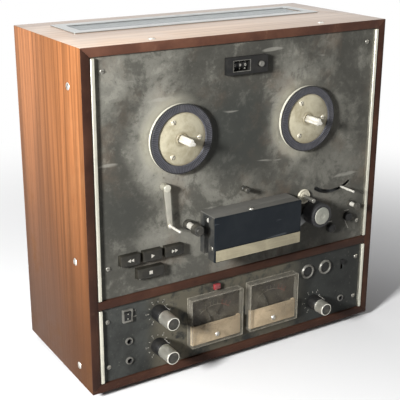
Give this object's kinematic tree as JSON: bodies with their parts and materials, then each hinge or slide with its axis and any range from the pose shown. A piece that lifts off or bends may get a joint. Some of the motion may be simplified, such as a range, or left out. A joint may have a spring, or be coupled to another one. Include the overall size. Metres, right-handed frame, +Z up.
{
  "type": "reel-to-reel tape deck",
  "caption": "Upright reel-to-reel tape deck in a walnut cabinet, with reel tables, tension arms, a head housing, a capstan and pinch roller, keys, level meters and knobs",
  "frame": {"origin": "under the middle of the whole box, at the bottom of the feet", "axes": "+Z up, the front faces -Y, and +X is to the right as seen from the front"},
  "size_m": [0.4426, 0.235, 0.4377],
  "materials": {
    "walnut": "walnut veneer with a worn satin varnish",
    "deck_grey": "stained satin grey",
    "charcoal": "worn satin charcoal",
    "silver": "turned and satin",
    "steel": "plain",
    "black_plastic": "satin moulded",
    "rubber": "matt",
    "housing_grey": "dark grey paint",
    "champagne": "tarnished champagne anodising",
    "cream": "yellowed",
    "clear_plastic": "clear and smoky with age",
    "red_plastic": "clear red lens"
  },
  "bodies": {
    "deck": {"cabinet": "walnut", "front_left_foot": "rubber", "front_right_foot": "rubber", "rear_left_foot": "rubber", "rear_right_foot": "rubber", "top_grille": "silver", "rear_cover": "charcoal", "connector_panel": "steel", "deck_plate": "deck_grey", "amplifier_plate": "charcoal", "chassis": "steel", "tape_heads": "silver", "head_housing": "housing_grey", "head_cover": "housing_grey", "head_cover_strip": "champagne", "left_guide": "silver", "right_guide": "silver", "counter_housing": "black_plastic", "capstan_bush": "cream", "capstan_belt": "rubber", "upper_jack": "steel", "lower_jack": "steel", "phones_jack": "steel", "record_lamp": "red_plastic", "left_meter_cover": "clear_plastic", "right_meter_cover": "clear_plastic", "left_meter_dial": "cream", "right_meter_dial": "cream", "amplifier_unit": "steel"},
    "supply_reel_table": {"supply_reel_table": "cream"},
    "supply_spindle_cap": {"supply_spindle_cap": "silver"},
    "takeup_reel_table": {"takeup_reel_table": "cream"},
    "takeup_spindle_cap": {"takeup_spindle_cap": "silver"},
    "left_tension_arm": {"left_tension_arm": "silver"},
    "right_tension_arm": {"right_tension_arm": "silver"},
    "pinch_arm": {"pinch_arm": "steel"},
    "pinch_roller": {"pinch_roller": "rubber"},
    "capstan": {"capstan": "steel"},
    "capstan_pulley": {"capstan_pulley": "silver"},
    "counter_wheel_1": {"counter_wheel_1": "black_plastic"},
    "counter_wheel_2": {"counter_wheel_2": "black_plastic"},
    "counter_wheel_3": {"counter_wheel_3": "black_plastic"},
    "counter_reset": {"counter_reset": "silver"},
    "key_rewind": {"key_rewind": "black_plastic"},
    "key_play": {"key_play": "black_plastic"},
    "key_forward": {"key_forward": "black_plastic"},
    "key_stop": {"key_stop": "black_plastic"},
    "upper_mode_button": {"upper_mode_button": "black_plastic"},
    "lower_mode_button": {"lower_mode_button": "black_plastic"},
    "power_rocker": {"power_rocker": "black_plastic"},
    "upper_input_ring": {"upper_input_ring": "black_plastic"},
    "upper_input_knob": {"upper_input_knob": "silver"},
    "lower_input_ring": {"lower_input_ring": "black_plastic"},
    "lower_input_knob": {"lower_input_knob": "silver"},
    "output_knob": {"output_knob": "silver"},
    "left_record_button": {"left_record_button": "black_plastic"},
    "right_record_button": {"right_record_button": "black_plastic"},
    "slide_switch": {"slide_switch": "black_plastic"},
    "left_meter_needle": {"left_meter_needle": "black_plastic"},
    "right_meter_needle": {"right_meter_needle": "black_plastic"}
  },
  "joints": [
    {"name": "supply_reel_spin", "type": "hinge", "parent": "deck", "child": "supply_reel_table", "pos_m": [-0.0942, -0.0785, 0.31799], "axis": [0, -1, 0], "continuous": true},
    {"name": "supply_cap_lock", "type": "hinge", "parent": "supply_reel_table", "child": "supply_spindle_cap", "pos_m": [-0.0942, -0.0785, 0.31799], "axis": [0, -1, 0], "range_deg": [0, 60]},
    {"name": "takeup_reel_spin", "type": "hinge", "parent": "deck", "child": "takeup_reel_table", "pos_m": [0.0942, -0.0785, 0.31799], "axis": [0, -1, 0], "continuous": true},
    {"name": "takeup_cap_lock", "type": "hinge", "parent": "takeup_reel_table", "child": "takeup_spindle_cap", "pos_m": [0.0942, -0.0785, 0.31799], "axis": [0, -1, 0], "range_deg": [0, 60]},
    {"name": "left_arm_swing", "type": "hinge", "parent": "deck", "child": "left_tension_arm", "pos_m": [-0.117, -0.0785, 0.26151], "axis": [0, -1, 0], "range_deg": [0, 32], "stiffness_Nm_per_rad": 0.05, "springref_deg": -5.73},
    {"name": "right_arm_swing", "type": "hinge", "parent": "deck", "child": "right_tension_arm", "pos_m": [0.1458, -0.0785, 0.263], "axis": [0, -1, 0], "range_deg": [-50, 12.5], "stiffness_Nm_per_rad": 0.08},
    {"name": "pinch_arm_swing", "type": "hinge", "parent": "deck", "child": "pinch_arm", "pos_m": [0.07816, -0.0785, 0.16875], "axis": [0, -1, 0], "range_deg": [0, 10.9], "stiffness_Nm_per_rad": 0.2},
    {"name": "pinch_roller_spin", "type": "hinge", "parent": "pinch_arm", "child": "pinch_roller", "pos_m": [0.10999, -0.0785, 0.1876], "axis": [0, -1, 0], "continuous": true},
    {"name": "capstan_spin", "type": "hinge", "parent": "deck", "child": "capstan", "pos_m": [0.09649, -0.0785, 0.2104], "axis": [0, -1, 0], "continuous": true},
    {"name": "pulley_spin", "type": "hinge", "parent": "deck", "child": "capstan_pulley", "pos_m": [-0.008, -0.0785, 0.20001], "axis": [0, -1, 0], "continuous": true},
    {"name": "counter_wheel_1_turn", "type": "hinge", "parent": "deck", "child": "counter_wheel_1", "pos_m": [-0.01811, -0.072, 0.39741], "axis": [1, 0, 0], "continuous": true},
    {"name": "counter_wheel_2_turn", "type": "hinge", "parent": "deck", "child": "counter_wheel_2", "pos_m": [-0.01051, -0.072, 0.39741], "axis": [1, 0, 0], "continuous": true},
    {"name": "counter_wheel_3_turn", "type": "hinge", "parent": "deck", "child": "counter_wheel_3", "pos_m": [-0.00291, -0.072, 0.39741], "axis": [1, 0, 0], "continuous": true},
    {"name": "counter_reset_press", "type": "slide", "parent": "deck", "child": "counter_reset", "axis": [0, 1, 0], "range_m": [0, 0.002], "stiffness_N_per_m": 200},
    {"name": "key_rewind_press", "type": "slide", "parent": "deck", "child": "key_rewind", "axis": [0, 1, 0], "range_m": [0, 0.003], "stiffness_N_per_m": 300},
    {"name": "key_play_press", "type": "slide", "parent": "deck", "child": "key_play", "axis": [0, 1, 0], "range_m": [0, 0.003], "stiffness_N_per_m": 300},
    {"name": "key_forward_press", "type": "slide", "parent": "deck", "child": "key_forward", "axis": [0, 1, 0], "range_m": [0, 0.003], "stiffness_N_per_m": 300},
    {"name": "key_stop_press", "type": "slide", "parent": "deck", "child": "key_stop", "axis": [0, 1, 0], "range_m": [0, 0.003], "stiffness_N_per_m": 300},
    {"name": "upper_mode_press", "type": "slide", "parent": "deck", "child": "upper_mode_button", "axis": [0, 1, 0], "range_m": [0, 0.003], "stiffness_N_per_m": 300},
    {"name": "lower_mode_press", "type": "slide", "parent": "deck", "child": "lower_mode_button", "axis": [0, 1, 0], "range_m": [0, 0.003], "stiffness_N_per_m": 300},
    {"name": "power_rocker_tip", "type": "hinge", "parent": "deck", "child": "power_rocker", "pos_m": [-0.16979, -0.0785, 0.1047], "axis": [-1, 0, 0], "range_deg": [0, 14]},
    {"name": "upper_input_ring_turn", "type": "hinge", "parent": "deck", "child": "upper_input_ring", "pos_m": [-0.12619, -0.0785, 0.0978], "axis": [0, -1, 0], "range_deg": [-110, 190]},
    {"name": "upper_input_knob_turn", "type": "hinge", "parent": "deck", "child": "upper_input_knob", "pos_m": [-0.12619, -0.0785, 0.0978], "axis": [0, -1, 0], "range_deg": [-150, 150]},
    {"name": "lower_input_ring_turn", "type": "hinge", "parent": "deck", "child": "lower_input_ring", "pos_m": [-0.1268, -0.0785, 0.0518], "axis": [0, -1, 0], "range_deg": [-110, 190]},
    {"name": "lower_input_knob_turn", "type": "hinge", "parent": "deck", "child": "lower_input_knob", "pos_m": [-0.1268, -0.0785, 0.0518], "axis": [0, -1, 0], "range_deg": [-150, 150]},
    {"name": "output_knob_turn", "type": "hinge", "parent": "deck", "child": "output_knob", "pos_m": [0.1207, -0.0785, 0.0502], "axis": [0, -1, 0], "range_deg": [-150, 150]},
    {"name": "left_record_press", "type": "slide", "parent": "deck", "child": "left_record_button", "axis": [0, 1, 0], "range_m": [0, 0.0025], "stiffness_N_per_m": 300},
    {"name": "right_record_press", "type": "slide", "parent": "deck", "child": "right_record_button", "axis": [0, 1, 0], "range_m": [0, 0.0025], "stiffness_N_per_m": 300},
    {"name": "slide_switch_move", "type": "slide", "parent": "deck", "child": "slide_switch", "axis": [0, 0, -1], "range_m": [0, 0.0078]},
    {"name": "left_needle_swing", "type": "hinge", "parent": "deck", "child": "left_meter_needle", "pos_m": [-0.0445, -0.0785, 0.0546], "axis": [0, 1, 0], "range_deg": [0, 50], "stiffness_Nm_per_rad": 0.0002},
    {"name": "right_needle_swing", "type": "hinge", "parent": "deck", "child": "right_meter_needle", "pos_m": [0.04571, -0.0785, 0.0546], "axis": [0, 1, 0], "range_deg": [0, 50], "stiffness_Nm_per_rad": 0.0002}
  ],
  "couplings": [
    {"joint": "pulley_spin", "follows": "capstan_spin", "ratio": 4.6667},
    {"joint": "counter_wheel_3_turn", "follows": "takeup_reel_spin", "ratio": 0.1},
    {"joint": "counter_wheel_2_turn", "follows": "takeup_reel_spin", "ratio": 0.01},
    {"joint": "counter_wheel_1_turn", "follows": "takeup_reel_spin", "ratio": 0.001}
  ]
}
